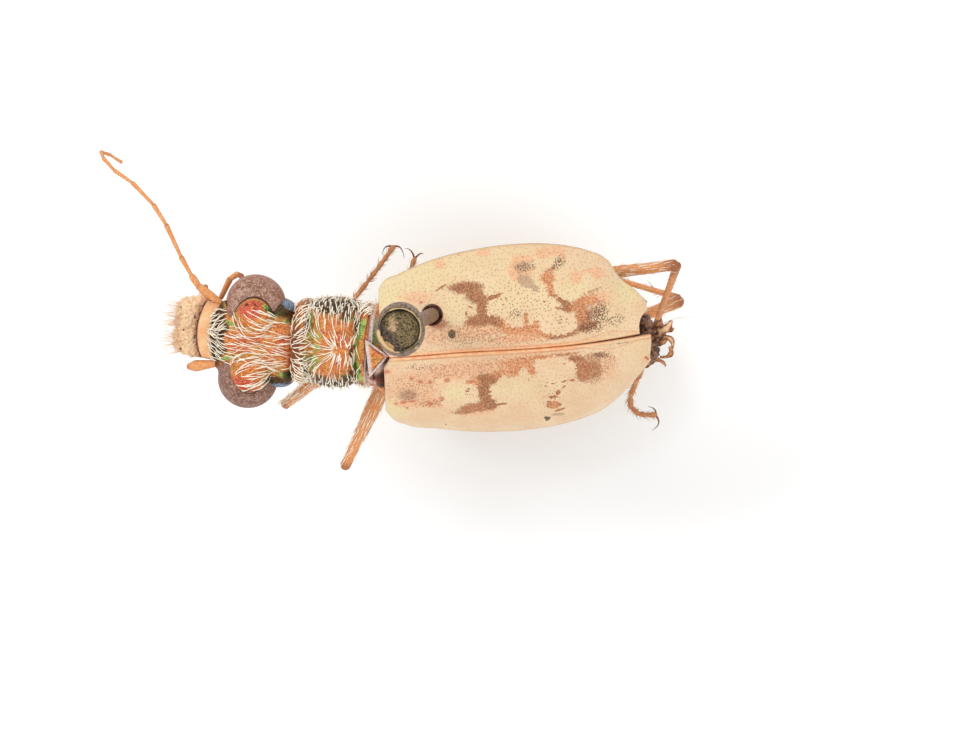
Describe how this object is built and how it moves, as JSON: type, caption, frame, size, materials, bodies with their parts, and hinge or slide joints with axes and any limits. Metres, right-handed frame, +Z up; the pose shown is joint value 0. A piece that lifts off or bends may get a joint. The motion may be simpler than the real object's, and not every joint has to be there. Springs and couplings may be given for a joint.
{
  "type": "tiger beetle specimen",
  "caption": "Life-size dried tiger beetle with cream elytra, held by an insect pin through its right elytron over a small oval base.",
  "frame": {"origin": "middle of the pin, on the flat underside of the oval base", "axes": "+Z up along the pin, -X from the elytra towards the head, +Y towards the beetle's right side"},
  "size_m": [0.0134, 0.0077, 0.0172],
  "materials": {
    "elytron": "satin cream chitin with brown and pink markings and fine punctures",
    "copper_cuticle": "metallic copper chitin with green and violet edges under long ivory hairs",
    "eye": "dull mauve-brown dried eye with fine facets",
    "venter": "dark satin chitin",
    "mouthpart": "ivory to tan chitin",
    "antenna": "orange chitin",
    "limb": "orange-brown chitin with ivory bristles and dark claws",
    "pin_brass": "aged dark brass",
    "base_brass": "satin brass"
  },
  "bodies": {
    "root": {"abdomen": "venter", "abdomen_tip": "venter", "antenna_base_left": "antenna", "antenna_base_right": "antenna", "antenna_middle_left": "antenna", "antenna_middle_right": "antenna", "antenna_scape_left": "antenna", "antenna_scape_right": "antenna", "antenna_tip_left": "antenna", "antenna_tip_right": "antenna", "coxa_fore_left": "limb", "coxa_fore_right": "limb", "coxa_hind_left": "limb", "coxa_hind_right": "limb", "coxa_mid_left": "limb", "coxa_mid_right": "limb", "elytron_left": "elytron", "elytron_right": "elytron", "eye_left": "eye", "eye_right": "eye", "femur_fore_left": "limb", "femur_fore_right": "limb", "femur_hind_left": "limb", "femur_hind_right": "limb", "femur_mid_left": "limb", "femur_mid_right": "limb", "head": "copper_cuticle", "insect_pin": "pin_brass", "labial_palp_left": "limb", "labial_palp_right": "limb", "labrum": "mouthpart", "mandible_left": "mouthpart", "mandible_right": "mouthpart", "maxillae": "mouthpart", "maxillary_palp_left": "limb", "maxillary_palp_right": "limb", "prothorax": "copper_cuticle", "pterothorax": "venter", "scutellum": "copper_cuticle", "stand_base": "base_brass", "tarsus_fore_left": "limb", "tarsus_fore_right": "limb", "tarsus_hind_left": "limb", "tarsus_hind_right": "limb", "tarsus_mid_left": "limb", "tarsus_mid_right": "limb", "tibia_fore_left": "limb", "tibia_fore_right": "limb", "tibia_hind_left": "limb", "tibia_hind_right": "limb", "tibia_mid_left": "limb", "tibia_mid_right": "limb"}
  },
  "joints": []
}
